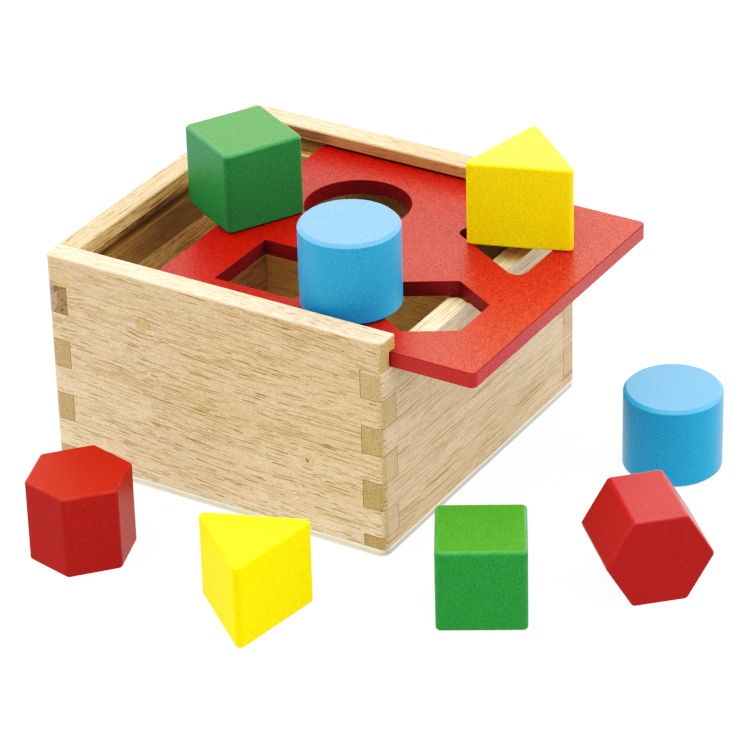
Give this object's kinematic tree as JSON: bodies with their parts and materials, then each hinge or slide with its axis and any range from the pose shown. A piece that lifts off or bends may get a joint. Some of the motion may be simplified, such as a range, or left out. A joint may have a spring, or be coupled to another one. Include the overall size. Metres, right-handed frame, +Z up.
{
  "type": "shape sorter",
  "caption": "Open-topped wooden box with finger-jointed corners and a grooved sliding lid pierced by shaped holes, with matching coloured blocks to post through them.",
  "frame": {"origin": "centre of the square box on the underside of its base, at table height", "axes": "+Z up; +X along the side walls, the way the lid is drawn out over the low end wall; +Y from the near side wall to the far side wall"},
  "size_m": [0.2726, 0.2311, 0.1228],
  "materials": {
    "rubberwood": "bare or clear-sealed light hardwood, sanded smooth",
    "plywood": "bare thin plywood",
    "red_lacquer": "satin red lacquer over plywood",
    "red_paint": "satin red paint over solid wood",
    "green_paint": "satin green paint over solid wood",
    "blue_paint": "satin light blue paint over solid wood",
    "yellow_paint": "satin yellow paint over solid wood"
  },
  "bodies": {
    "box": {"base_panel": "plywood", "near_side_wall": "rubberwood", "far_side_wall": "rubberwood", "closed_end_wall": "rubberwood", "low_end_wall": "rubberwood"},
    "lid": {"sliding_lid": "red_lacquer"},
    "green_square_block_1": {"green_square_block_1": "green_paint"},
    "green_square_block_2": {"green_square_block_2": "green_paint"},
    "blue_round_block_1": {"blue_round_block_1": "blue_paint"},
    "blue_round_block_2": {"blue_round_block_2": "blue_paint"},
    "yellow_triangle_block_1": {"yellow_triangle_block_1": "yellow_paint"},
    "yellow_triangle_block_2": {"yellow_triangle_block_2": "yellow_paint"},
    "red_hexagon_block_1": {"red_hexagon_block_1": "red_paint"},
    "red_hexagon_block_2": {"red_hexagon_block_2": "red_paint"}
  },
  "joints": [
    {"name": "lid_slide", "type": "slide", "parent": "box", "child": "lid", "axis": [1, 0, 0], "range_m": [-0.035, 0.11]},
    {"name": "green_square_block_1_lift", "type": "slide", "parent": "box", "child": "green_square_block_1", "axis": [0, 0, 1], "range_m": [0, 0.04]},
    {"name": "green_square_block_2_lift", "type": "slide", "parent": "box", "child": "green_square_block_2", "axis": [0, 0, 1], "range_m": [0, 0.04]},
    {"name": "blue_round_block_1_lift", "type": "slide", "parent": "lid", "child": "blue_round_block_1", "axis": [0, 0, 1], "range_m": [0, 0.04]},
    {"name": "blue_round_block_2_lift", "type": "slide", "parent": "box", "child": "blue_round_block_2", "axis": [0, 0, 1], "range_m": [0, 0.04]},
    {"name": "yellow_triangle_block_1_lift", "type": "slide", "parent": "lid", "child": "yellow_triangle_block_1", "axis": [0, 0, 1], "range_m": [0, 0.04]},
    {"name": "yellow_triangle_block_2_lift", "type": "slide", "parent": "box", "child": "yellow_triangle_block_2", "axis": [0, 0, 1], "range_m": [0, 0.04]},
    {"name": "red_hexagon_block_1_lift", "type": "slide", "parent": "box", "child": "red_hexagon_block_1", "axis": [0, 0, 1], "range_m": [0, 0.04]},
    {"name": "red_hexagon_block_2_lift", "type": "slide", "parent": "box", "child": "red_hexagon_block_2", "axis": [0, 0, 1], "range_m": [0, 0.04]}
  ]
}
